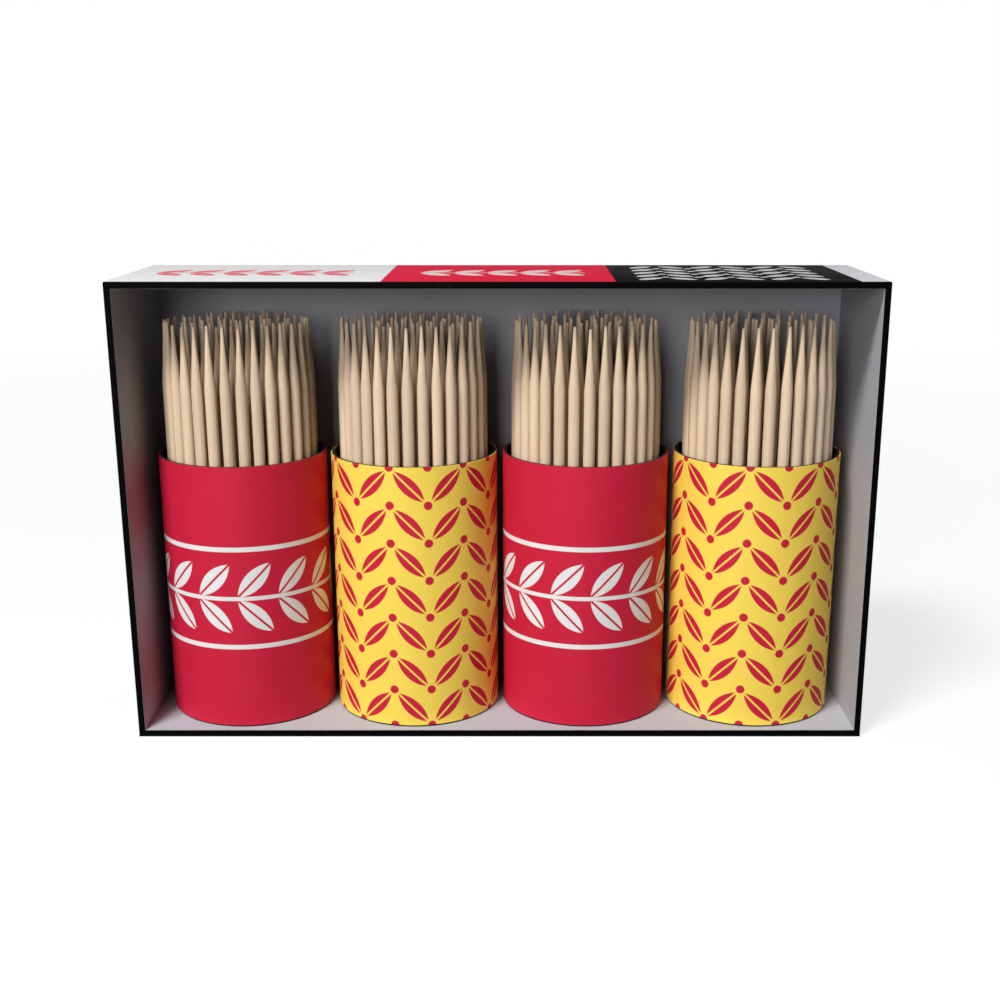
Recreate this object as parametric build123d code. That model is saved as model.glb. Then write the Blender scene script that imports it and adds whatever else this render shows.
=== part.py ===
from build123d import *

import os
from math import asin, cos, degrees, pi, sin

# Boxed set of cocktail pick holders: round paperboard pots, each full of wooden picks, stand side by
# side in a rigid display box with an open front.
# Millimetres, +Z up, +X along the row of pots, -Y out of the open front. The origin is on the
# underside of the box, in the middle of its width and depth.

# Wooden picks, pointed at both ends
PICK_LENGTH = 65.0
PICK_DIAMETER = 2.0  # across the corners of the faceted shaft
PICK_SIDES = 5
PICK_TAPER = 10.0  # length of each point
PICK_GAP = 0.4  # least room between neighbours in one ring
RING_GAP = 1.0  # room between one ring of picks and the next
RIM_GAP = 0.8  # room between the outer ring and the bore of the pot

# Round pots: a paperboard tube, a base plug and a printed paper label
POT_COUNT = 4
POT_DIAMETER = 28.0  # over the label
POT_HEIGHT = 44.8
TUBE_WALL = 0.4
PLUG_THICKNESS = 1.3
FOOT_RECESS = 0.8  # the plug sits this far up inside the foot of the tube
LABEL_PAPER = 0.15
LABEL_LAP = 6.0  # width of the glued overlap at the back
LABEL_FOOT_GAP = 0.3  # the label stops this far above the foot
GLUE_LINE = 0.05

# Display box: five greyboard panels, a printed wrap outside and a white liner inside
BOARD = 0.8
WRAP_PAPER = 0.15
LINER_PAPER = 0.15
POT_SPACING = 1.0  # between neighbouring pots
SIDE_GAP = 2.0  # between an end pot and the side of the bay
FRONT_GAP = 1.4  # between the pots and the front edge of the box
BACK_GAP = 0.5  # between the pots and the back of the bay
HEADROOM = 6.1  # between the points of the picks and the top of the bay

# Sizes of a pot, from its own foot and axis
POT_RADIUS = POT_DIAMETER / 2
TUBE_RADIUS = POT_RADIUS - LABEL_PAPER - GLUE_LINE
BORE_RADIUS = TUBE_RADIUS - TUBE_WALL
PICK_SEAT = FOOT_RECESS + PLUG_THICKNESS

# Sizes of the box
WALL = WRAP_PAPER + BOARD + LINER_PAPER
BAY_WIDTH = POT_COUNT * POT_DIAMETER + (POT_COUNT - 1) * POT_SPACING + 2 * SIDE_GAP
BAY_DEPTH = FRONT_GAP + POT_DIAMETER + BACK_GAP
BAY_HEIGHT = PICK_SEAT + PICK_LENGTH + HEADROOM
BOX_WIDTH = BAY_WIDTH + 2 * WALL
BOX_DEPTH = BAY_DEPTH + WALL
BOX_HEIGHT = BAY_HEIGHT + 2 * WALL

# Planes of the box, from the outside inwards
SIDE = BOX_WIDTH / 2
FRONT = -BOX_DEPTH / 2
BACK = BOX_DEPTH / 2
BOARD_SIDE = SIDE - WRAP_PAPER
BOARD_FRONT = FRONT + WRAP_PAPER
BOARD_BACK = BACK - WRAP_PAPER
BOARD_TOP = BOX_HEIGHT - WRAP_PAPER
LINER_SIDE = BOARD_SIDE - BOARD
LINER_BACK = BOARD_BACK - BOARD
LINER_FLOOR = WRAP_PAPER + BOARD
LINER_TOP = BOARD_TOP - BOARD
BAY_SIDE = BAY_WIDTH / 2
BAY_BACK = FRONT + BAY_DEPTH
BAY_TOP = WALL + BAY_HEIGHT
POT_Y = FRONT + FRONT_GAP + POT_RADIUS


def slab(low, high):
    """Rectangular solid between two opposite corners."""
    size = Vector(*high) - Vector(*low)
    return Pos(*low) * Box(size.X, size.Y, size.Z, align=(Align.MIN, Align.MIN, Align.MIN))


def wall_profile(inner, outer, foot):
    """Upright section of a round wall between two radii, from a height above the foot up to the rim."""
    return make_face(Polyline((inner, 0, foot), (outer, 0, foot), (outer, 0, POT_HEIGHT),
                              (inner, 0, POT_HEIGHT), close=True))


def box_boards():
    """Greyboard panels: the back covers the ends of the others, the sides stand between floor and top."""
    left_side = slab((-BOARD_SIDE, BOARD_FRONT, LINER_FLOOR), (-LINER_SIDE, LINER_BACK, LINER_TOP))
    return {
        "back_board": slab((-BOARD_SIDE, LINER_BACK, WRAP_PAPER), (BOARD_SIDE, BOARD_BACK, BOARD_TOP)),
        "top_board": slab((-BOARD_SIDE, BOARD_FRONT, LINER_TOP), (BOARD_SIDE, LINER_BACK, BOARD_TOP)),
        "floor_board": slab((-BOARD_SIDE, BOARD_FRONT, WRAP_PAPER), (BOARD_SIDE, LINER_BACK, LINER_FLOOR)),
        "left_side_board": left_side,
        "right_side_board": mirror(left_side, Plane.YZ),
    }


def outer_wrap():
    """Printed paper over the top, back and sides, turned over the front edges of the boards."""
    skin = slab((-SIDE, FRONT, WRAP_PAPER), (SIDE, BACK, BOX_HEIGHT))
    skin -= slab((-BOARD_SIDE, BOARD_FRONT, WRAP_PAPER), (BOARD_SIDE, BOARD_BACK, BOARD_TOP))
    return skin - slab((-LINER_SIDE, FRONT, LINER_FLOOR), (LINER_SIDE, BOARD_FRONT, LINER_TOP))


def base_sheet():
    """Paper pasted on the underside, below the boards and the lower edges of the wrap."""
    return slab((-SIDE, FRONT, 0), (SIDE, BACK, WRAP_PAPER))


def inner_liner():
    """White paper on the five inner faces of the bay."""
    lining = slab((-LINER_SIDE, BOARD_FRONT, LINER_FLOOR), (LINER_SIDE, LINER_BACK, LINER_TOP))
    return lining - slab((-BAY_SIDE, BOARD_FRONT, WALL), (BAY_SIDE, BAY_BACK, BAY_TOP))


def pot_tube():
    """Wound paperboard tube, open at both ends."""
    return revolve(wall_profile(BORE_RADIUS, TUBE_RADIUS, 0), Axis.Z)


def pot_label():
    """Printed paper sleeve round the tube, lapped at the back."""
    sleeve = revolve(wall_profile(POT_RADIUS - LABEL_PAPER, POT_RADIUS, LABEL_FOOT_GAP), Axis.Z)
    lap_angle = degrees(LABEL_LAP / POT_RADIUS)
    lap_profile = wall_profile(POT_RADIUS, POT_RADIUS + LABEL_PAPER, LABEL_FOOT_GAP)
    return sleeve + Rot(Z=90 - lap_angle / 2) * revolve(lap_profile, Axis.Z, lap_angle)


def pot_base_plug():
    """Greyboard disc glued into the foot of the tube, which carries the picks."""
    disc = Cylinder(BORE_RADIUS - GLUE_LINE, PLUG_THICKNESS, align=(Align.CENTER, Align.CENTER, Align.MIN))
    return Pos(0, 0, FOOT_RECESS) * disc


def pick():
    """One faceted pick standing on its lower point, which is at the origin."""
    shaft = RegularPolygon(PICK_DIAMETER / 2, PICK_SIDES).face()
    lower_shoulder = Pos(0, 0, PICK_TAPER) * shaft
    upper_shoulder = Pos(0, 0, PICK_LENGTH - PICK_TAPER) * shaft
    return loft([Vertex(0, 0, 0), lower_shoulder, upper_shoulder, Vertex(0, 0, PICK_LENGTH)], ruled=True)


def pick_places():
    """Places of the picks in one pot, in rings from the bore inwards. The first is the front one."""
    pitch = PICK_DIAMETER + PICK_GAP
    ring_step = PICK_DIAMETER + RING_GAP
    radius = BORE_RADIUS - RIM_GAP - PICK_DIAMETER / 2
    places = []
    turn = -pi / 2
    while radius > pitch / 2:
        count = int(pi / asin(pitch / 2 / radius))
        for index in range(count):
            angle = turn + index * 2 * pi / count
            places.append(Location((radius * cos(angle), radius * sin(angle), 0), (0, 0, degrees(angle))))
        turn += pi / count
        radius -= ring_step
    if radius + ring_step >= pitch:
        places.append(Location((0, 0, 0)))
    return places


def pot_pieces():
    """The pieces of one pot, standing on its foot at the origin."""
    one_pick = pick()
    picks = [Pos(0, 0, PICK_SEAT) * place * one_pick for place in pick_places()]
    return {
        "tube": pot_tube(),
        "label": pot_label(),
        "base_plug": pot_base_plug(),
        "front_pick": picks[0],
        "picks": Compound(children=picks[1:]),
    }


def display_set():
    """Every named piece of the set, in its place."""
    pieces = box_boards()
    pieces["outer_wrap"] = outer_wrap()
    pieces["base_sheet"] = base_sheet()
    pieces["inner_liner"] = inner_liner()
    pot = pot_pieces()
    for index in range(POT_COUNT):
        x = (index - (POT_COUNT - 1) / 2) * (POT_DIAMETER + POT_SPACING)
        for piece, shape in pot.items():
            pieces[f"pot_{index + 1}_{piece}"] = Pos(x, POT_Y, WALL) * shape
    return pieces


os.makedirs("parts", exist_ok=True)
for name, shape in display_set().items():
    export_step(shape, f"parts/{name}.step")
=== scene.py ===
import math
import random

import bmesh
import bpy
from bpy.props import FloatProperty, FloatVectorProperty, IntProperty, PointerProperty
from mathutils import Matrix, Vector


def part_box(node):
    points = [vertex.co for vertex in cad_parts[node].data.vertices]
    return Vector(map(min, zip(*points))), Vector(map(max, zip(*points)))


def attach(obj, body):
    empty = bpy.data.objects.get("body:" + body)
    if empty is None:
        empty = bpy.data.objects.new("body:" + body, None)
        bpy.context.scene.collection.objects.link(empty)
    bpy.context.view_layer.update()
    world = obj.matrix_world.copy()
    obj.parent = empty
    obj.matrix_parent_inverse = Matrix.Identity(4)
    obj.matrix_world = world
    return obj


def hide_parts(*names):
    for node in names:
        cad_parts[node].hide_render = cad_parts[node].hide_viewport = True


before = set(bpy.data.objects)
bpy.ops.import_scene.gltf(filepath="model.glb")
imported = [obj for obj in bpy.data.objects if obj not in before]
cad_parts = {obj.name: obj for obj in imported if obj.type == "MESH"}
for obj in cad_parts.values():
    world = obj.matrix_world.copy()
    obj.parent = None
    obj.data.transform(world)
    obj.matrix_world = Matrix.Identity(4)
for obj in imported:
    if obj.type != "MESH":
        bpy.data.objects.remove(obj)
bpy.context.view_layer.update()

bl_info = {
    "name": "Cocktail pick set",
    "version": (1, 0, 0),
    "blender": (4, 5, 0),
    "location": "View3D > Sidebar > Pick set",
    "description": "Dresses an open display box with four paper pots of wooden cocktail picks",
    "category": "Object",
}

MM = 0.001
POTS = ("pot_1", "pot_2", "pot_3", "pot_4")
RED_POTS = ("pot_1", "pot_3")
PRINT_MAP = "print"
WHITE = (1.0, 1.0, 1.0, 1.0)

FOLD_ANGLE = math.radians(60)  # an edge that turns more than this is a fold or a cut edge of paper
SMOOTH_ANGLE = math.radians(35)  # an edge of paper that turns less than this is shaded smooth
SQUARE = 0.99  # least part of a face's normal along the axis that the face is square to
NOISE_RANGE = {"From Min": 0.3, "From Max": 0.7}  # values that a noise texture seldom leaves

# Printed motifs. Leaves, dots and stems are sized by shares of the motif's pitch.
INK_EDGE = 0.05  # half the width of the soft edge of the ink, in millimetres
LEAF_SLANT = math.radians(-45)
SPRIG_LEAF = (0.58, 0.2, 0.025)  # half the length, half the width and half the midrib
SPRIG_DOT = 0.115  # radius
GARLAND_LEAF = (0.64, 0.25, 0.03)
GARLAND_STEM = 0.055  # half the width

# Print of the labels, with heights above the lower edge, in millimetres
FRIEZE_MIDDLE = 22.4
FRIEZE_HALF = 8.4
FRIEZE_LEAF = 6.2
RULE_WIDTH = 0.8
LABEL_LEAF_SHIFT = (0.25, 0.0)  # brings a column of leaves to the front of a pot

# Printed panels on the top of the box, by their edges from left to right, in millimetres
RED_PANEL_START = -18.0
BLACK_PANEL_START = 18.2
PALE_STRIP_START = 56.0
# Middle and half-length of what is printed on them, and pitch of its leaves
WHITE_PANEL_PRINT = (-39.9, 16.2)
RED_PANEL_PRINT = (0.6, 13.5)
BLACK_PANEL_PRINT = (36.9, 14.9)
BLACK_PANEL_DEPTH = (0.0, 12.3)
TOP_GARLAND_PITCH = (5.4, 5.4)
TOP_GARLAND_SHIFT = 0.389  # brings whole leaves to both ends of each garland
TOP_LEAF_PITCH = (5.2, 5.2)
TOP_LEAF_SHIFT = (0.452, 0.5)  # brings whole leaves to the edges of the black panel


def linear(hex_colour):
    """Linear red, green and blue of an sRGB hex value."""
    shares = [int(hex_colour[start:start + 2], 16) / 255 for start in (1, 3, 5)]
    return [share / 12.92 if share <= 0.04045 else ((share + 0.055) / 1.055) ** 2.4 for share in shares]


class PickSetSizes(bpy.types.PropertyGroup):
    """Sizes of the paper and wood details that the plain solids leave out."""

    fold_radius: FloatProperty(
        name="Fold radius", description="Rounding of the wrap where it folds over the edge of a board",
        default=0.25 * MM, min=0.05 * MM, max=0.6 * MM, precision=5, unit="LENGTH")
    lip_over_liner: FloatProperty(
        name="Lip over liner", description="How far the front lip of the wrap covers the liner's edge",
        default=0.1 * MM, min=0.0, max=0.15 * MM, precision=5, unit="LENGTH")
    edge_rounding: FloatProperty(
        name="Edge rounding", description="Rounding of the cut edges of a label",
        default=0.04 * MM, min=0.01 * MM, max=0.07 * MM, precision=5, unit="LENGTH")
    lap_width: FloatProperty(
        name="Lap width", description="Width of the glued overlap at the back of a label",
        default=6.0 * MM, min=2.0 * MM, max=12.0 * MM, precision=5, unit="LENGTH")
    label_motifs: IntProperty(
        name="Motifs round a pot", description="How often the motif repeats round a yellow label",
        default=14, min=4, max=24)
    frieze_motifs: IntProperty(
        name="Motifs in the frieze", description="How often the motif repeats round a red label",
        default=13, min=4, max=24)
    pick_radius: FloatProperty(
        name="Pick radius", description="Radius of the shaft of a pick",
        default=0.96 * MM, min=0.5 * MM, max=1.1 * MM, precision=5, unit="LENGTH")
    point_length: FloatProperty(
        name="Point length", description="Length of the taper at each end of a pick",
        default=10.0 * MM, min=2.0 * MM, max=20.0 * MM, precision=5, unit="LENGTH")
    point_radius: FloatProperty(
        name="Point radius", description="Radius of the blunt end of a pick",
        default=0.24 * MM, min=0.05 * MM, max=0.5 * MM, precision=5, unit="LENGTH")
    pick_lean: FloatProperty(
        name="Pick lean", description="How far a pick may lean out of upright",
        default=math.radians(0.14), min=0.0, max=math.radians(0.5), subtype="ANGLE")
    length_spread: FloatProperty(
        name="Length spread", description="How much shorter than the full length a pick may be",
        default=0.6 * MM, min=0.0, max=2.0 * MM, precision=5, unit="LENGTH")


class PickSetColours(bpy.types.PropertyGroup):
    """Colours of the papers, inks, boards and wood."""

    red_ink: FloatVectorProperty(
        name="Red ink", description="Ground of the red labels and the motifs of the yellow ones",
        default=linear("#C8213D"), min=0.0, max=1.0, subtype="COLOR")
    yellow_ink: FloatVectorProperty(
        name="Yellow ink", description="Ground of the yellow labels",
        default=linear("#FADA5A"), min=0.0, max=1.0, subtype="COLOR")
    white_paper: FloatVectorProperty(
        name="White paper", description="Unprinted coated paper on the labels",
        default=linear("#E8E7E7"), min=0.0, max=1.0, subtype="COLOR")
    wrap_white: FloatVectorProperty(
        name="White of the wrap", description="Unprinted matt paper on the top of the box",
        default=linear("#D5D4D4"), min=0.0, max=1.0, subtype="COLOR")
    black_ink: FloatVectorProperty(
        name="Black ink", description="Ground of the wrap",
        default=linear("#030303"), min=0.0, max=1.0, subtype="COLOR")
    pale_strip: FloatVectorProperty(
        name="Pale strip", description="Strip at the right end of the top",
        default=linear("#C8C8CD"), min=0.0, max=1.0, subtype="COLOR")
    liner: FloatVectorProperty(
        name="Liner", description="Paper inside the box",
        default=linear("#B3B4BB"), min=0.0, max=1.0, subtype="COLOR")
    board: FloatVectorProperty(
        name="Greyboard", description="Base plugs and boards",
        default=linear("#9A9286"), min=0.0, max=1.0, subtype="COLOR")
    tube: FloatVectorProperty(
        name="Tube", description="Dark kraft board of the tubes",
        default=linear("#2A2321"), min=0.0, max=1.0, subtype="COLOR")
    wood_light: FloatVectorProperty(
        name="Light wood", description="Palest picks",
        default=linear("#E4CBAE"), min=0.0, max=1.0, subtype="COLOR")
    # The darkest end of this range is painted shade, taken by the picks deep in the bundle
    wood_dark: FloatVectorProperty(
        name="Dark wood", description="Darkest picks",
        default=linear("#867561"), min=0.0, max=1.0, subtype="COLOR")


def rgba(colour):
    """A colour with full opacity."""
    return (*colour, 1.0)


def add_node(tree, kind, inputs=None, output=None, **settings):
    """Adds a node with its settings, fills or links its inputs, and returns the output that is in use."""
    node = tree.nodes.new(kind)
    for name, value in settings.items():
        setattr(node, name, value)
    for name, value in (inputs or {}).items():
        socket = node.inputs[name] if isinstance(name, int) else next(
            found for found in node.inputs if found.name == name and found.enabled)
        if isinstance(value, bpy.types.NodeSocket):
            tree.links.new(value, socket)
        else:
            socket.default_value = value
    shown = [found for found in node.outputs if found.enabled]
    if output:
        return next(found for found in shown if found.name == output)
    return shown[0] if shown else node


def new_material(name):
    """An empty node material."""
    material = bpy.data.materials.new(name)
    material.use_nodes = True
    material.node_tree.nodes.clear()
    return material


def millimetres(tree, source):
    """Place on a piece in millimetres, from its Object coordinates or its own print map."""
    if source == PRINT_MAP:
        return add_node(tree, "ShaderNodeUVMap", uv_map=PRINT_MAP)
    place = add_node(tree, "ShaderNodeTexCoord", output=source)
    return add_node(tree, "ShaderNodeVectorMath", {0: place, "Scale": 1 / MM}, operation="SCALE")


def grid_spot(tree, place, pitch, shift, mirrored):
    """Place from the middle of a cell of a grid of motifs, in millimetres. Along a mirrored direction,
    every other cell is a mirror image."""
    span = tuple(length * (2 if mirror else 1) for length, mirror in zip(pitch, mirrored))
    folds = tuple(1.0 if mirror else 0.0 for mirror in mirrored)
    cell = add_node(tree, "ShaderNodeVectorMath", {0: place, 1: (*span, 1.0)}, operation="DIVIDE")
    cell = add_node(tree, "ShaderNodeVectorMath", {0: cell, 1: (*shift, 0.0)}, operation="ADD")
    cell = add_node(tree, "ShaderNodeVectorMath", {0: cell}, operation="FRACTION")
    cell = add_node(tree, "ShaderNodeVectorMath", {0: cell, 1: (0.5, 0.5, 0.5)}, operation="SUBTRACT")
    folded = add_node(tree, "ShaderNodeVectorMath", {0: cell}, operation="ABSOLUTE")
    cell = add_node(tree, "ShaderNodeMix", {"Factor": (*folds, 0.0), "A": cell, "B": folded},
                    data_type="VECTOR", factor_mode="NON_UNIFORM")
    middle = tuple(0.25 * fold for fold in folds)
    cell = add_node(tree, "ShaderNodeVectorMath", {0: cell, 1: (*middle, 0.0)}, operation="SUBTRACT")
    return add_node(tree, "ShaderNodeVectorMath", {0: cell, 1: (*span, 0.0)}, operation="MULTIPLY")


def inked(tree, limit, reach):
    """Share of ink: full where a reach is inside its limit, both in millimetres, with a crisp edge."""
    depth = add_node(tree, "ShaderNodeMath", {0: limit, 1: reach}, operation="SUBTRACT")
    return add_node(tree, "ShaderNodeMapRange",
                    {"Value": depth, "From Min": -INK_EDGE, "From Max": INK_EDGE})


def band_mask(tree, value, middle, half):
    """Share of ink of a straight band about a middle line."""
    offset = add_node(tree, "ShaderNodeMath", {0: value, 1: middle}, operation="SUBTRACT")
    offset = add_node(tree, "ShaderNodeMath", {0: offset}, operation="ABSOLUTE")
    return inked(tree, half, offset)


def leaf_mask(tree, spot, pitch, shares):
    """Share of ink of a slanting leaf, pointed at both ends and split by a fine midrib."""
    half_length, half_width, rib = (share * pitch for share in shares)
    bow = (half_length ** 2 + half_width ** 2) / (2 * half_width)
    turned = add_node(tree, "ShaderNodeVectorRotate", {"Vector": spot, "Angle": LEAF_SLANT},
                      rotation_type="Z_AXIS")
    along = add_node(tree, "ShaderNodeSeparateXYZ", {0: turned}, output="X")
    across = add_node(tree, "ShaderNodeSeparateXYZ", {0: turned}, output="Y")
    across = add_node(tree, "ShaderNodeMath", {0: across}, operation="ABSOLUTE")
    beyond = add_node(tree, "ShaderNodeMath", {0: across, 1: bow - half_width}, operation="ADD")
    from_middle = add_node(tree, "ShaderNodeCombineXYZ", {"X": along, "Y": beyond})
    reach = add_node(tree, "ShaderNodeVectorMath", {0: from_middle}, operation="LENGTH")
    inside = inked(tree, bow, reach)
    blade = inked(tree, across, rib)
    return add_node(tree, "ShaderNodeMath", {0: inside, 1: blade}, operation="MINIMUM")


def dot_mask(tree, spot, pitch, radius):
    """Share of ink of a round dot where four cells meet."""
    sides = add_node(tree, "ShaderNodeVectorMath", {0: spot}, operation="ABSOLUTE")
    corner = (pitch[0] / 2, pitch[1] / 2, 0.0)
    gap = add_node(tree, "ShaderNodeVectorMath", {0: sides, 1: corner}, operation="SUBTRACT")
    reach = add_node(tree, "ShaderNodeVectorMath", {0: gap}, operation="LENGTH")
    return inked(tree, radius, reach)


def leaf_and_dot_ink(tree, place, pitch, shift):
    """Share of ink of an all-over print: columns of leaves that slant by turns left and right, with a dot
    where each pair of leaves comes together."""
    spot = grid_spot(tree, place, pitch, shift, mirrored=(True, False))
    leaves = leaf_mask(tree, spot, pitch[0], SPRIG_LEAF)
    dots = dot_mask(tree, spot, pitch, SPRIG_DOT * pitch[0])
    return add_node(tree, "ShaderNodeMath", {0: leaves, 1: dots}, operation="MAXIMUM")


def garland_ink(tree, place, height, middle, pitch, along=0.0):
    """Share of ink of a garland: leaves in pairs along a straight stem at a given height."""
    shift = (along, 0.5 - middle / (2 * pitch[1]))
    spot = grid_spot(tree, place, pitch, shift, mirrored=(False, True))
    leaves = leaf_mask(tree, spot, pitch[1], GARLAND_LEAF)
    room = band_mask(tree, height, middle, pitch[1])
    leaves = add_node(tree, "ShaderNodeMath", {0: leaves, 1: room}, operation="MULTIPLY")
    stem = band_mask(tree, height, middle, GARLAND_STEM * pitch[1])
    return add_node(tree, "ShaderNodeMath", {0: leaves, 1: stem}, operation="MAXIMUM")


def printed(tree, ground, *layers):
    """Colour of a ground with inks printed over it in turn, each given with its share of ink."""
    colour = ground
    for ink, share in layers:
        colour = add_node(tree, "ShaderNodeMix",
                          {"Factor": share, "A": colour, "B": ink}, data_type="RGBA")
    return colour


def dull_surface(tree, colour, rough, relief, shine, strength, depth):
    """Ends a material: a dull surface with a fine relief, its depth in millimetres."""
    bump = add_node(tree, "ShaderNodeBump",
                    {"Strength": strength, "Distance": depth * MM, "Height": relief})
    surface = add_node(tree, "ShaderNodeBsdfPrincipled",
                       {"Base Color": colour, "Roughness": rough, "Specular IOR Level": shine,
                        "Normal": bump})
    add_node(tree, "ShaderNodeOutputMaterial", {"Surface": surface})


def coated_paper(name, print_colour, roughness=(0.42, 0.52), shine=0.16):
    """Coated paper, offset printed and varnished: an even satin sheet.
    The eye sees flat ink with faint clouding and a very fine fibre under the sheen."""
    # Widths in millimetres. The fibre is drawn about three times its real width to show.
    cloud_width, fibre_width = 3.5, 0.3
    material = new_material(name)
    tree = material.node_tree
    place = millimetres(tree, "Object")
    clouds = add_node(tree, "ShaderNodeTexNoise",
                      {"Vector": place, "Scale": 1 / cloud_width, "Detail": 3.0, "Roughness": 0.6},
                      output="Fac")
    fibres = add_node(tree, "ShaderNodeTexNoise",
                      {"Vector": place, "Scale": 1 / fibre_width, "Detail": 2.0, "Roughness": 0.5},
                      output="Fac")
    tone = add_node(tree, "ShaderNodeMapRange",
                    {"Value": clouds, **NOISE_RANGE, "To Min": 0.965, "To Max": 1.02})
    colour = add_node(tree, "ShaderNodeVectorMath",
                      {0: print_colour(tree), "Scale": tone}, operation="SCALE")
    rough = add_node(tree, "ShaderNodeMapRange",
                     {"Value": clouds, **NOISE_RANGE, "To Min": roughness[0], "To Max": roughness[1]})
    dull_surface(tree, colour, rough, fibres, shine, strength=0.35, depth=0.012)
    return material


def red_label_paper(colours, sizes, round_length):
    """Red label: a white garland between two rules."""
    def print_colour(tree):
        place = millimetres(tree, PRINT_MAP)
        height = add_node(tree, "ShaderNodeSeparateXYZ", {0: place}, output="Y")
        pitch = (round_length / sizes.frieze_motifs, FRIEZE_LEAF)
        ink = garland_ink(tree, place, height, FRIEZE_MIDDLE, pitch)
        for side in (-1, 1):
            rule = band_mask(tree, height, FRIEZE_MIDDLE + side * FRIEZE_HALF, RULE_WIDTH / 2)
            ink = add_node(tree, "ShaderNodeMath", {0: ink, 1: rule}, operation="MAXIMUM")
        return printed(tree, rgba(colours.red_ink), (rgba(colours.white_paper), ink))
    return coated_paper("coated_label_paper_red", print_colour)


def yellow_label_paper(colours, sizes, round_length, height):
    """Yellow label: red leaves and dots all over."""
    def print_colour(tree):
        place = millimetres(tree, PRINT_MAP)
        across = round_length / sizes.label_motifs
        pitch = (across, height / round(height / across))
        ink = leaf_and_dot_ink(tree, place, pitch, LABEL_LEAF_SHIFT)
        return printed(tree, rgba(colours.yellow_ink), (rgba(colours.red_ink), ink))
    return coated_paper("coated_label_paper_yellow", print_colour)


def printed_top_paper(colours):
    """Top of the wrap: white and red panels with a garland, a black panel with leaves, a pale strip."""
    def print_colour(tree):
        place = millimetres(tree, "Object")
        across = add_node(tree, "ShaderNodeSeparateXYZ", {0: place}, output="X")
        depth = add_node(tree, "ShaderNodeSeparateXYZ", {0: place}, output="Y")
        garland = garland_ink(tree, place, depth, 0.0, TOP_GARLAND_PITCH, TOP_GARLAND_SHIFT)
        white_room = band_mask(tree, across, *WHITE_PANEL_PRINT)
        red_room = band_mask(tree, across, *RED_PANEL_PRINT)
        on_white = add_node(tree, "ShaderNodeMath", {0: garland, 1: white_room}, operation="MULTIPLY")
        on_red = add_node(tree, "ShaderNodeMath", {0: garland, 1: red_room}, operation="MULTIPLY")
        leaves = leaf_and_dot_ink(tree, place, TOP_LEAF_PITCH, TOP_LEAF_SHIFT)
        for value, room in ((across, BLACK_PANEL_PRINT), (depth, BLACK_PANEL_DEPTH)):
            room = band_mask(tree, value, *room)
            leaves = add_node(tree, "ShaderNodeMath", {0: leaves, 1: room}, operation="MULTIPLY")
        white, red = rgba(colours.wrap_white), rgba(colours.red_ink)
        return printed(
            tree, white, (red, on_white),
            (red, inked(tree, across, RED_PANEL_START)), (white, on_red),
            (rgba(colours.black_ink), inked(tree, across, BLACK_PANEL_START)), (white, leaves),
            (rgba(colours.pale_strip), inked(tree, across, PALE_STRIP_START)))
    return coated_paper("coated_wrap_paper_printed", print_colour, roughness=(0.55, 0.68), shine=0.005)


def black_wrap_paper(colours):
    """Black wrap: full-tone ink with a few paler scuffs, and rubbed paler as far as the faces' wear and
    sheen say: real wear, with painted sheen on the sides and a painted highlight along the folds.
    """
    scuff_width = 7.0  # millimetres

    def print_colour(tree):
        place = millimetres(tree, "Object")
        scuffs = add_node(tree, "ShaderNodeTexNoise",
                          {"Vector": place, "Scale": 1 / scuff_width, "Detail": 6.0, "Roughness": 0.7},
                          output="Fac")
        worn = add_node(tree, "ShaderNodeMapRange",
                        {"Value": scuffs, "From Min": 0.6, "From Max": 0.85, "To Max": 0.01})
        # Rubbed paler where the faces say: wear, with painted sheen on the sides and a painted highlight
        # on the folds
        rubbed = add_node(tree, "ShaderNodeMapRange",
                          {"Value": scuffs, "From Min": 0.35, "From Max": 0.65,
                           "To Min": 0.01, "To Max": 0.12})
        wear = add_node(tree, "ShaderNodeAttribute", output="Fac", attribute_name="wear")
        rubbed = add_node(tree, "ShaderNodeMath", {0: rubbed, 1: wear}, operation="MULTIPLY")
        worn = add_node(tree, "ShaderNodeMath", {0: worn, 1: rubbed}, operation="MAXIMUM")
        return printed(tree, rgba(colours.black_ink), (rgba(colours.wrap_white), worn))
    return coated_paper("coated_wrap_paper_black", print_colour, roughness=(0.5, 0.65), shine=0.02)


def liner_paper(colours):
    """Uncoated white liner paper: dull, slightly cloudy, with a visible fibre."""
    # Widths in millimetres. The fibre is drawn about three times its real width to show.
    cloud_width, fibre_width = 5.0, 0.35
    material = new_material("uncoated_liner_paper")
    tree = material.node_tree
    place = millimetres(tree, "Object")
    clouds = add_node(tree, "ShaderNodeTexNoise",
                      {"Vector": place, "Scale": 1 / cloud_width, "Detail": 4.0, "Roughness": 0.65},
                      output="Fac")
    fibres = add_node(tree, "ShaderNodeTexNoise",
                      {"Vector": place, "Scale": 1 / fibre_width, "Detail": 3.0, "Roughness": 0.6},
                      output="Fac")
    tone = add_node(tree, "ShaderNodeMapRange",
                    {"Value": clouds, **NOISE_RANGE, "To Min": 0.96, "To Max": 1.0})
    colour = add_node(tree, "ShaderNodeVectorMath",
                      {0: tuple(colours.liner), "Scale": tone}, operation="SCALE")
    rough = add_node(tree, "ShaderNodeMapRange",
                     {"Value": fibres, **NOISE_RANGE, "To Min": 0.75, "To Max": 0.9})
    dull_surface(tree, colour, rough, fibres, shine=0.2, strength=0.4, depth=0.02)
    return material


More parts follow.
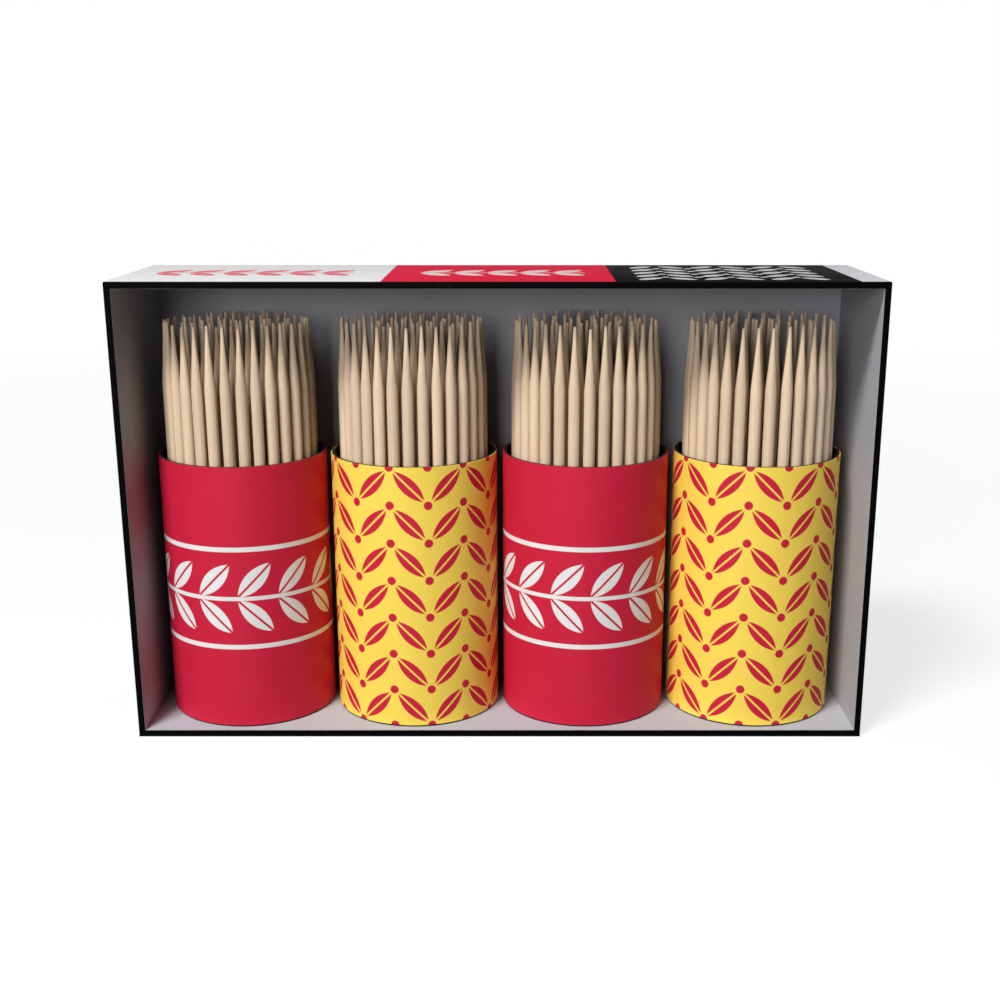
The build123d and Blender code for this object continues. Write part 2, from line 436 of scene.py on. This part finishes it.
def pulp_board(name, colour, darkest_fleck):
    """Board pressed or wound from recycled pulp: dull and cloudy, with dark flecks of fibre."""
    cloud_width, fleck_spacing = 1.6, 0.9  # millimetres
    material = new_material(name)
    tree = material.node_tree
    place = millimetres(tree, "Object")
    pulp = add_node(tree, "ShaderNodeTexNoise",
                    {"Vector": place, "Scale": 1 / cloud_width, "Detail": 5.0, "Roughness": 0.7},
                    output="Fac")
    flecks = add_node(tree, "ShaderNodeTexVoronoi",
                      {"Vector": place, "Scale": 1 / fleck_spacing}, output="Distance")
    tone = add_node(tree, "ShaderNodeMapRange",
                    {"Value": pulp, **NOISE_RANGE, "To Min": 0.82, "To Max": 1.1})
    colour = add_node(tree, "ShaderNodeVectorMath", {0: tuple(colour), "Scale": tone}, operation="SCALE")
    speck = add_node(tree, "ShaderNodeMapRange",
                     {"Value": flecks, "From Min": 0.08, "From Max": 0.2, "To Min": darkest_fleck})
    colour = add_node(tree, "ShaderNodeVectorMath", {0: colour, "Scale": speck}, operation="SCALE")
    rough = add_node(tree, "ShaderNodeMapRange",
                     {"Value": pulp, **NOISE_RANGE, "To Min": 0.82, "To Max": 0.95})
    dull_surface(tree, colour, rough, pulp, shine=0.15, strength=0.5, depth=0.05)
    return material


def birch_wood(colours):
    """Turned birch, unfinished: pale and dull, each pick its own tone, darkened by painted shade deep in
    the bundle, with short grain lines along it.
    """
    line_width, line_length = 0.3, 8.0  # millimetres
    material = new_material("turned_birch_wood")
    tree = material.node_tree
    place = millimetres(tree, "Object")
    stretched = add_node(tree, "ShaderNodeVectorMath",
                         {0: place, 1: (1 / line_width, 1 / line_width, 1 / line_length)},
                         operation="MULTIPLY")
    grain = add_node(tree, "ShaderNodeTexNoise",
                     {"Vector": stretched, "Scale": 1.0, "Detail": 3.0, "Roughness": 0.6}, output="Fac")
    own_tone = add_node(tree, "ShaderNodeAttribute", output="Fac", attribute_name="pick_tone")
    dark, light = rgba(colours.wood_dark), rgba(colours.wood_light)
    colour = add_node(tree, "ShaderNodeMix", {"Factor": own_tone, "A": dark, "B": light}, data_type="RGBA")
    lines = add_node(tree, "ShaderNodeMapRange",
                     {"Value": grain, **NOISE_RANGE, "To Min": 0.88, "To Max": 1.04})
    colour = add_node(tree, "ShaderNodeVectorMath", {0: colour, "Scale": lines}, operation="SCALE")
    rough = add_node(tree, "ShaderNodeMapRange",
                     {"Value": grain, **NOISE_RANGE, "To Min": 0.6, "To Max": 0.75})
    dull_surface(tree, colour, rough, grain, shine=0.25, strength=0.4, depth=0.03)
    return material


def named(name):
    """The object just added, with its place applied to its mesh and its name set."""
    piece = bpy.context.active_object
    bpy.ops.object.transform_apply(location=True, rotation=True, scale=True)
    piece.name = name
    piece.data.name = name
    return piece


def select_where(piece, kind, test):
    """In edit mode, selects only the vertices, edges or faces that pass a test."""
    bpy.ops.mesh.select_mode(type=kind)
    bpy.ops.mesh.select_all(action="DESELECT")
    shape = bmesh.from_edit_mesh(piece.data)
    shape.normal_update()
    for part in {"VERT": shape.verts, "EDGE": shape.edges, "FACE": shape.faces}[kind]:
        if test(part):
            part.select_set(True)
    shape.select_flush_mode()
    bmesh.update_edit_mesh(piece.data)


def is_fold(edge):
    """True for an edge where the paper turns a corner."""
    return edge.is_manifold and edge.calc_face_angle() > FOLD_ANGLE


def give_thickness(piece, paper):
    """Gives a sheet its thickness, inwards from its printed side, and smooths its folds."""
    sheet = piece.modifiers.new("paper", "SOLIDIFY")
    sheet.thickness = paper
    sheet.offset = -1.0
    sheet.use_even_offset = True
    bpy.ops.object.modifier_apply(modifier=sheet.name)
    bpy.ops.object.shade_smooth_by_angle(angle=SMOOTH_ANGLE)


def finish_node(node, material):
    """Gives a solid of the frame its finish."""
    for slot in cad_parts[node].material_slots:
        slot.material = material


class PICKSET_OT_outer_wrap(bpy.types.Operator):
    """Folds the printed wrap over the boards and their front edges, with the base sheet to match"""

    bl_idname = "pickset.outer_wrap"
    bl_label = "Outer wrap"

    fold_segments = 3
    # How far the ink is rubbed paler on the outer sides and on their folds: real wear, with painted sheen
    # on the sides and a painted highlight along the folds. The front lips are fresh.
    side_wear, fold_wear = 0.18, 1.0

    def execute(self, context):
        sizes, colours = context.scene.pick_set_sizes, context.scene.pick_set_colours
        low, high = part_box("outer_wrap")
        sheet_low, sheet_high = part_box("base_sheet")
        board_low, board_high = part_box("floor_board")
        paper = sheet_high.z - sheet_low.z
        lip = paper + board_high.z - board_low.z + sizes.lip_over_liner
        bpy.ops.mesh.primitive_cube_add(size=1, location=(low + high) / 2, scale=high - low)
        wrap = named("wrap_folded_paper")
        bpy.ops.object.mode_set(mode="EDIT")
        select_where(wrap, "FACE", lambda face: face.normal.z < -SQUARE)
        bpy.ops.mesh.delete(type="FACE")
        select_where(wrap, "FACE", lambda face: face.normal.y < -SQUARE)
        bpy.ops.mesh.inset(thickness=lip, depth=0.0)
        bpy.ops.mesh.delete(type="FACE")
        sill = low.z + lip
        select_where(wrap, "VERT", lambda vert: abs(vert.co.z - sill) < paper / 2)
        bpy.ops.transform.translate(value=(0.0, 0.0, -paper))
        select_where(wrap, "EDGE", is_fold)
        bpy.ops.mesh.bevel(offset=sizes.fold_radius, segments=self.fold_segments, affect="EDGES")
        bpy.ops.object.mode_set(mode="OBJECT")
        give_thickness(wrap, paper)
        black = black_wrap_paper(colours)
        wrap.data.materials.append(black)
        wrap.data.materials.append(printed_top_paper(colours))
        finish_node("base_sheet", black)
        wear = wrap.data.attributes.new("wear", "FLOAT", "FACE")
        for face in wrap.data.polygons:
            on_top = face.normal.z > SQUARE and face.center.z > board_high.z + lip
            face.material_index = 1 if on_top else 0
            # Painted sheen on the outer sides and a painted highlight along their folds, on top of their
            # wear
            on_fold = max(abs(part) for part in face.normal) < SQUARE
            if face.center.y > low.y + lip:
                wear.data[face.index].value = self.fold_wear if on_fold else self.side_wear
        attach(wrap, "box")
        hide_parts("outer_wrap")
        return {"FINISHED"}


class PICKSET_OT_boards(bpy.types.Operator):
    """Finishes the boards, the liner, the tubes and the base plugs"""

    bl_idname = "pickset.boards"
    bl_label = "Boards, liner and tubes"

    def execute(self, context):
        colours = context.scene.pick_set_colours
        grey = pulp_board("recycled_greyboard", colours.board, darkest_fleck=0.55)
        kraft = pulp_board("wound_kraft_tube", colours.tube, darkest_fleck=0.75)
        for board in ("back", "top", "floor", "left_side", "right_side"):
            finish_node(f"{board}_board", grey)
        finish_node("inner_liner", liner_paper(colours))
        for pot in POTS:
            finish_node(f"{pot}_tube", kraft)
            finish_node(f"{pot}_base_plug", grey)
        return {"FINISHED"}


def map_print(label, axis, radius, foot):
    """Gives a label a map in millimetres: along the paper from the front, and up from its lower edge."""
    layer = label.data.uv_layers.new(name=PRINT_MAP)
    for face in label.data.polygons:
        middle = math.atan2(face.center.x - axis.x, axis.y - face.center.y)
        for loop in face.loop_indices:
            spot = label.data.vertices[label.data.loops[loop].vertex_index].co
            turn = math.atan2(spot.x - axis.x, axis.y - spot.y) - middle
            turn -= 2 * math.pi * round(turn / (2 * math.pi))
            layer.data[loop].uv = ((middle + turn) * radius / MM, (spot.z - foot) / MM)


class PICKSET_OT_labels(bpy.types.Operator):
    """Rolls a printed label round each pot, flush with the rim and lapped at the back"""

    bl_idname = "pickset.labels"
    bl_label = "Labels"

    label_sides = 120
    edge_segments = 2

    def roll(self, pot, sizes):
        """One label with its print map, not yet given its material."""
        low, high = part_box(f"{pot}_label")
        radius = (high.x - low.x) / 2
        axis = Vector(((low.x + high.x) / 2, low.y + radius, 0.0))
        paper = high.y - axis.y - radius
        bpy.ops.mesh.primitive_cylinder_add(
            vertices=self.label_sides, radius=radius, depth=high.z - low.z, end_fill_type="NOTHING",
            location=(axis.x, axis.y, (low.z + high.z) / 2), calc_uvs=False)
        label = named(f"{pot}_printed_label")
        bpy.ops.object.mode_set(mode="EDIT")
        lap_half = sizes.lap_width / 2 / radius

        def in_lap(face):
            middle = face.calc_center_median() - axis
            return abs(math.atan2(middle.x, middle.y)) < lap_half

        select_where(label, "FACE", in_lap)
        bpy.ops.mesh.extrude_region_shrink_fatten(TRANSFORM_OT_shrink_fatten={"value": paper})
        bpy.ops.object.mode_set(mode="OBJECT")
        map_print(label, axis, radius, low.z)
        give_thickness(label, paper)
        edges = label.modifiers.new("cut_edges", "BEVEL")
        edges.width = sizes.edge_rounding
        edges.segments = self.edge_segments
        edges.limit_method = "ANGLE"
        edges.angle_limit = FOLD_ANGLE
        bpy.ops.object.modifier_apply(modifier=edges.name)
        bpy.ops.object.shade_smooth_by_angle(angle=SMOOTH_ANGLE)
        return label

    def execute(self, context):
        sizes, colours = context.scene.pick_set_sizes, context.scene.pick_set_colours
        low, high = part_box("pot_1_label")
        round_length = math.pi * (high.x - low.x) / MM
        red = red_label_paper(colours, sizes, round_length)
        yellow = yellow_label_paper(colours, sizes, round_length, (high.z - low.z) / MM)
        for pot in POTS:
            label = self.roll(pot, sizes)
            label.data.materials.append(red if pot in RED_POTS else yellow)
            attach(label, pot)
            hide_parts(f"{pot}_label")
        return {"FINISHED"}


class PICKSET_OT_picks(bpy.types.Operator):
    """Turns one double-pointed pick and stands copies of it in every pot"""

    bl_idname = "pickset.picks"
    bl_label = "Picks"

    pick_sides = 8
    smooth_angle = math.radians(50)  # more than the turn from one side of a pick to the next
    tip_tolerance = 0.01 * MM
    seed = 11
    # Taper of a point from its shoulder to its blunt end: share of its length, share of the radius.
    # The last radius is the point radius.
    taper = ((0.42, 0.64), (0.78, 0.36), (1.0, None))
    # Painted shade: picks are darkest out to the first share of the bundle's radius, where the picks
    # around them shade them, and light from the second on
    dark_heart, light_from = 0.35, 0.95
    # How much one pick may be darker than the next in the same ring, of the range from light wood to dark
    tone_spread = 0.25

    def turn_pick(self, sizes):
        """A pick of the full length, standing at the origin."""
        low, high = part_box("pot_1_front_pick")
        length, radius, point = high.z - low.z, sizes.pick_radius, sizes.point_length
        bpy.ops.mesh.primitive_cylinder_add(
            vertices=self.pick_sides, radius=radius, depth=length - 2 * point,
            location=(0.0, 0.0, length / 2))
        pick = named("turned_pick")
        bpy.ops.object.mode_set(mode="EDIT")
        for side in (-1, 1):
            select_where(pick, "FACE", lambda face: face.normal.z * side > SQUARE)
            gone, width = 0.0, 1.0
            for share, thinner in self.taper:
                thinner = thinner or sizes.point_radius / radius
                step = (0.0, 0.0, side * (share - gone) * point)
                bpy.ops.mesh.extrude_region_move(TRANSFORM_OT_translate={"value": step})
                bpy.ops.transform.resize(value=(thinner / width, thinner / width, 1.0),
                                         center_override=(0.0, 0.0, 0.0))
                gone, width = share, thinner
        bpy.ops.object.mode_set(mode="OBJECT")
        bpy.ops.object.shade_smooth_by_angle(angle=self.smooth_angle)
        pick.data.attributes.new("pick_tone", "FLOAT", "POINT")
        return pick

    def places(self, node):
        """Where the picks of a node stand: under each of its highest points."""
        low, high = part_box(node)
        tips = [vert.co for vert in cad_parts[node].data.vertices
                if vert.co.z > high.z - self.tip_tolerance]
        # Rounded to a micrometre, so that the vertices of one tip count as one place
        return low.z, sorted({(round(tip.x, 6), round(tip.y, 6)) for tip in tips})

    def stand(self, pick, pot, piece, sizes, chance, wood):
        """One piece of standing copies, each with its own turn, lean, length and tone, with painted shade
        on the picks deep in the bundle.
        """
        node, name = f"{pot}_{piece}", f"{pot}_turned_{piece}"
        seat, places = self.places(node)
        low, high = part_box(f"{pot}_tube")
        axis = (low + high) / 2
        outer = max(math.hypot(x - axis.x, y - axis.y) for x, y in places)
        full = pick.dimensions.z
        # A point is ground to fresh, pale wood, most of all at its end. The paling is also painted light
        # on points that stand in the shade of the top, and it clears the painted shade off the points of
        # the inner picks.
        ground = [max(0.0, 1.0 - (full - vert.co.z) / sizes.point_length) ** 2
                  for vert in pick.data.vertices]
        bpy.ops.object.select_all(action="DESELECT")
        for x, y in places:
            copy = pick.copy()
            copy.data = pick.data.copy()
            bpy.context.scene.collection.objects.link(copy)
            lean = Matrix.Rotation(chance.uniform(0.0, sizes.pick_lean), 4, "X")
            heading = Matrix.Rotation(chance.uniform(0.0, 2 * math.pi), 4, "Z")
            turn = Matrix.Rotation(chance.uniform(0.0, 2 * math.pi), 4, "Z")
            shorter = chance.uniform(0.0, sizes.length_spread)
            stretch = Matrix.Diagonal((1.0, 1.0, 1.0 - shorter / full, 1.0))
            copy.data.transform(Matrix.Translation((x, y, seat)) @ heading @ lean @ turn @ stretch)
            # Painted shade: the deeper a pick stands in the bundle, the darker its wood
            outwards = math.hypot(x - axis.x, y - axis.y) / outer
            tone = min(1.0, (outwards - self.dark_heart) / (self.light_from - self.dark_heart))
            tone = max(0.0, tone - chance.uniform(0.0, self.tone_spread))
            copy.data.attributes["pick_tone"].data.foreach_set(
                "value", [tone + (1.0 - tone) * fresh for fresh in ground])
            copy.select_set(True)
            bpy.context.view_layer.objects.active = copy
        if len(places) > 1:
            bpy.ops.object.join()
        picks = bpy.context.view_layer.objects.active
        picks.name = name
        picks.data.name = name
        picks.data.materials.append(wood)
        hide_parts(node)
        return picks

    def execute(self, context):
        sizes = context.scene.pick_set_sizes
        chance = random.Random(self.seed)
        wood = birch_wood(context.scene.pick_set_colours)
        pick = self.turn_pick(sizes)
        for pot in POTS:
            bundle = self.stand(pick, pot, "picks", sizes, chance, wood)
            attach(bundle, f"{pot}_pick_bundle")
            front = self.stand(pick, pot, "front_pick", sizes, chance, wood)
            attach(front, f"{pot}_loose_pick")
        bpy.data.objects.remove(pick)
        return {"FINISHED"}


class PICKSET_OT_stage(bpy.types.Operator):
    """Sets the pale floor, the soft lights and the camera"""

    bl_idname = "pickset.stage"
    bl_label = "Stage"

    # Name, place in millimetres, edge in millimetres, watts
    lamps = (
        ("key", (-252.8, -389.3, 723.1), 200.0, 7.2),
        ("low", (-223.4, -778.9, 214.6), 320.0, 2.9),
        ("back", (590.0, 560.0, 207.0), 400.0, 2.6),
    )
    aim = Vector((0.0, 0.0, 35.0)) * MM
    sky_light = 0.012
    floor_edge = 12.0  # metres
    floor_drop = 0.05 * MM  # keeps the floor clear of the underside
    floor_reflects = 0.12  # share of the light on the floor that comes back to the object
    # The floor's white glow is least at the object, where its shadow shows, and full further out
    least_glow = 0.75
    glow_rises, glow_full = 100.0 * MM, 500.0 * MM
    # Camera, with its focal length and optical centre in pixels of a square frame
    eye = Vector((3.72, -233.2, 95.75)) * MM
    look_down = math.radians(16.17)
    focal_pixels = 1402.0
    optical_centre = (521.7, 550.0)
    frame_pixels = 1000.0
    sensor_width = 36.0  # millimetres
    near_clip = 10.0 * MM

    def floor(self):
        """A wide pale floor that shows white to the eye and keeps a faint shadow."""
        bpy.ops.mesh.primitive_plane_add(size=self.floor_edge, location=(0.0, 0.0, -self.floor_drop))
        floor = named("floor")
        material = new_material("pale_studio_floor")
        tree = material.node_tree
        seen = self.seen(tree)
        place = add_node(tree, "ShaderNodeTexCoord", output="Object")
        away = add_node(tree, "ShaderNodeVectorMath", {0: place}, operation="LENGTH")
        share = add_node(tree, "ShaderNodeMapRange",
                         {"Value": away, "From Min": self.glow_rises, "From Max": self.glow_full,
                          "To Min": self.least_glow})
        share = add_node(tree, "ShaderNodeMath", {0: seen, 1: share}, operation="MULTIPLY")
        dim = rgba([self.floor_reflects] * 3)
        pale = add_node(tree, "ShaderNodeMix", {"Factor": seen, "A": dim, "B": WHITE}, data_type="RGBA")
        matt = add_node(tree, "ShaderNodeBsdfDiffuse", {"Color": pale})
        glow = add_node(tree, "ShaderNodeEmission", {"Color": WHITE, "Strength": 1.0})
        surface = add_node(tree, "ShaderNodeMixShader", {0: share, 1: matt, 2: glow})
        add_node(tree, "ShaderNodeOutputMaterial", {"Surface": surface})
        floor.data.materials.append(material)

    def seen(self, tree):
        """1 for rays from the camera, a mirror or glass, and 0 for the rays that light the object."""
        path = {name: add_node(tree, "ShaderNodeLightPath", output=name)
                for name in ("Is Camera Ray", "Is Glossy Ray", "Is Transmission Ray")}
        seen = add_node(tree, "ShaderNodeMath",
                        {0: path["Is Camera Ray"], 1: path["Is Glossy Ray"]}, operation="MAXIMUM")
        return add_node(tree, "ShaderNodeMath",
                        {0: seen, 1: path["Is Transmission Ray"]}, operation="MAXIMUM")

    def sky(self, scene):
        """White where it is seen, and a weak even light elsewhere."""
        scene.world = bpy.data.worlds.new("studio")
        scene.world.use_nodes = True
        tree = scene.world.node_tree
        tree.nodes.clear()
        strength = add_node(tree, "ShaderNodeMapRange",
                            {"Value": self.seen(tree), "To Min": self.sky_light})
        light = add_node(tree, "ShaderNodeBackground", {"Color": WHITE, "Strength": strength})
        add_node(tree, "ShaderNodeOutputWorld", {"Surface": light})

    def execute(self, context):
        scene = context.scene
        scene.view_settings.view_transform = "Standard"
        self.floor()
        self.sky(scene)
        for name, place, edge, power in self.lamps:
            place = Vector(place) * MM
            turn = (self.aim - place).to_track_quat("-Z", "Y").to_euler()
            bpy.ops.object.light_add(type="AREA", location=place, rotation=turn)
            lamp = context.active_object
            lamp.name = f"{name}_lamp"
            lamp.data.size = edge * MM
            lamp.data.energy = power
            lamp.visible_camera = False
        bpy.ops.object.camera_add(location=self.eye, rotation=(math.pi / 2 - self.look_down, 0.0, 0.0))
        camera = context.active_object
        camera.data.sensor_width = self.sensor_width
        camera.data.lens = camera.data.sensor_width * self.focal_pixels / self.frame_pixels
        camera.data.shift_x = 0.5 - self.optical_centre[0] / self.frame_pixels
        camera.data.shift_y = self.optical_centre[1] / self.frame_pixels - 0.5
        camera.data.clip_start = self.near_clip
        scene.camera = camera
        return {"FINISHED"}


PIECES = (PICKSET_OT_outer_wrap, PICKSET_OT_boards, PICKSET_OT_labels, PICKSET_OT_picks, PICKSET_OT_stage)


class PICKSET_PT_sidebar(bpy.types.Panel):
    """Sizes, colours and pieces of the pick set"""

    bl_label = "Pick set"
    bl_space_type = "VIEW_3D"
    bl_region_type = "UI"
    bl_category = "Pick set"

    def draw(self, context):
        for group in (context.scene.pick_set_sizes, context.scene.pick_set_colours):
            column = self.layout.column(align=True)
            for name in group.__annotations__:
                column.prop(group, name)
        column = self.layout.column(align=True)
        for piece in PIECES:
            column.operator(piece.bl_idname)


CLASSES = (PickSetSizes, PickSetColours, *PIECES, PICKSET_PT_sidebar)


def register():
    for cls in CLASSES:
        bpy.utils.register_class(cls)
    bpy.types.Scene.pick_set_sizes = PointerProperty(type=PickSetSizes)
    bpy.types.Scene.pick_set_colours = PointerProperty(type=PickSetColours)


def unregister():
    del bpy.types.Scene.pick_set_colours
    del bpy.types.Scene.pick_set_sizes
    for cls in reversed(CLASSES):
        bpy.utils.unregister_class(cls)


def main():
    """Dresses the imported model."""
    register()
    bpy.ops.pickset.outer_wrap()
    bpy.ops.pickset.boards()
    bpy.ops.pickset.labels()
    bpy.ops.pickset.picks()
    bpy.ops.pickset.stage()
    bpy.context.view_layer.update()


if __name__ == "__main__":
    main()
